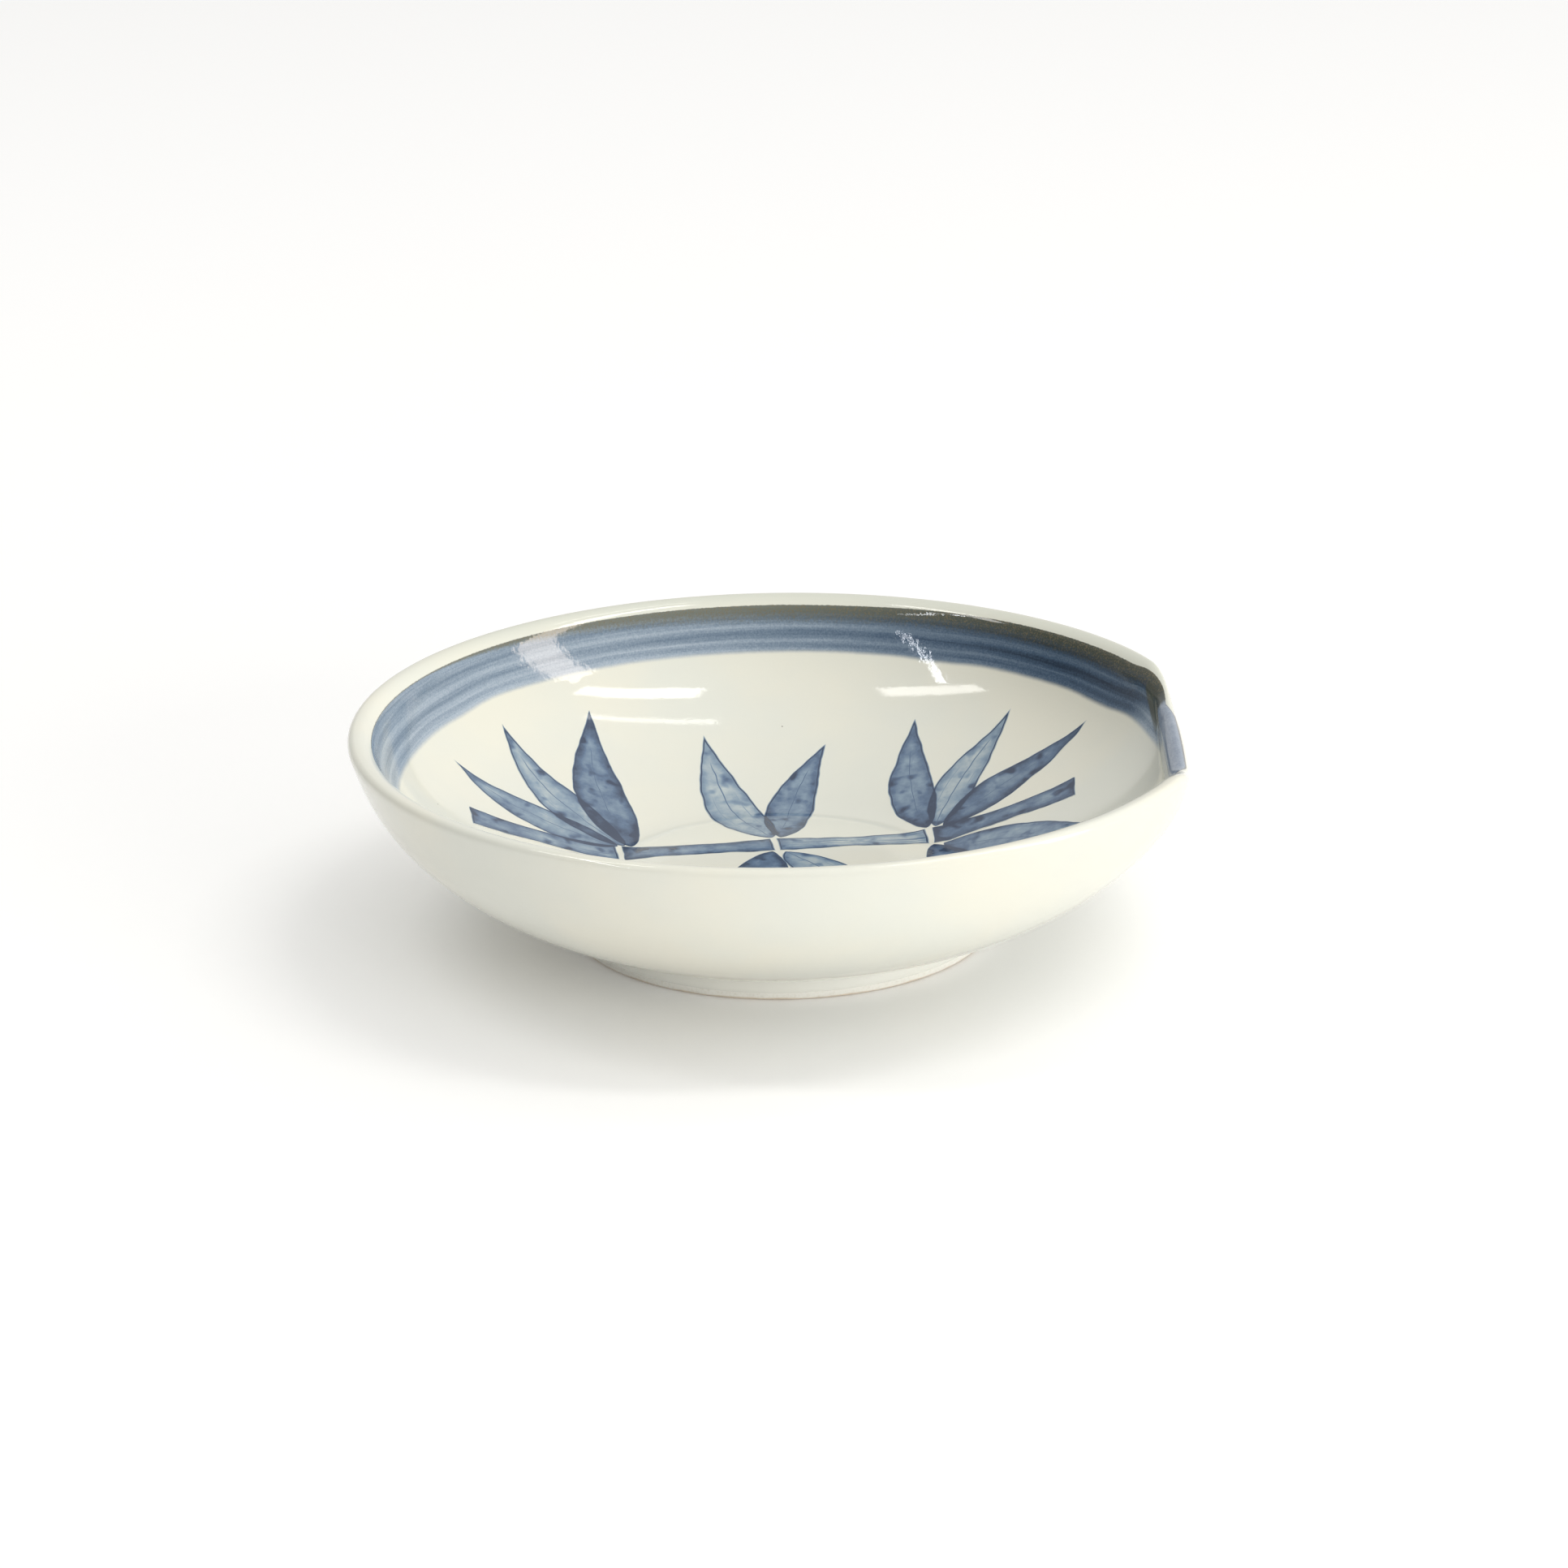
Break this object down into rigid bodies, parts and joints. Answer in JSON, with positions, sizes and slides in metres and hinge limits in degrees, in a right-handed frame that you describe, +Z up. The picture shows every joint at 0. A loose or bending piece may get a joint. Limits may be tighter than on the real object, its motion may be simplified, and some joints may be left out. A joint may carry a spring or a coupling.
{
  "type": "soy sauce dish",
  "caption": "Small round porcelain soy sauce dish on a low foot ring, with a pressed pouring lip, a cobalt band inside the rim and a painted bamboo sprig.",
  "frame": {"origin": "on the table, at the middle of the foot ring's contact face", "axes": "+Z up, +X out through the middle of the pouring lip, +Y by the right-hand rule"},
  "size_m": [0.0973, 0.0998, 0.0251],
  "materials": {
    "porcelain": "fired white porcelain under the glaze",
    "bare_porcelain": "bare fired porcelain, fine and matt",
    "cobalt_band": "cobalt brushed on the wheel under a glossy glaze",
    "cobalt_brushwork": "mottled cobalt wash with dark outlines under a glossy glaze",
    "clear_glaze": "glossy warm white glaze"
  },
  "bodies": {
    "root": {"porcelain_body": "porcelain", "foot_ring": "bare_porcelain", "blue_band": "cobalt_band", "bamboo_painting": "cobalt_brushwork", "inner_glaze": "clear_glaze", "outer_glaze": "clear_glaze", "foot_glaze": "clear_glaze", "foot_well_glaze": "clear_glaze"}
  },
  "joints": []
}
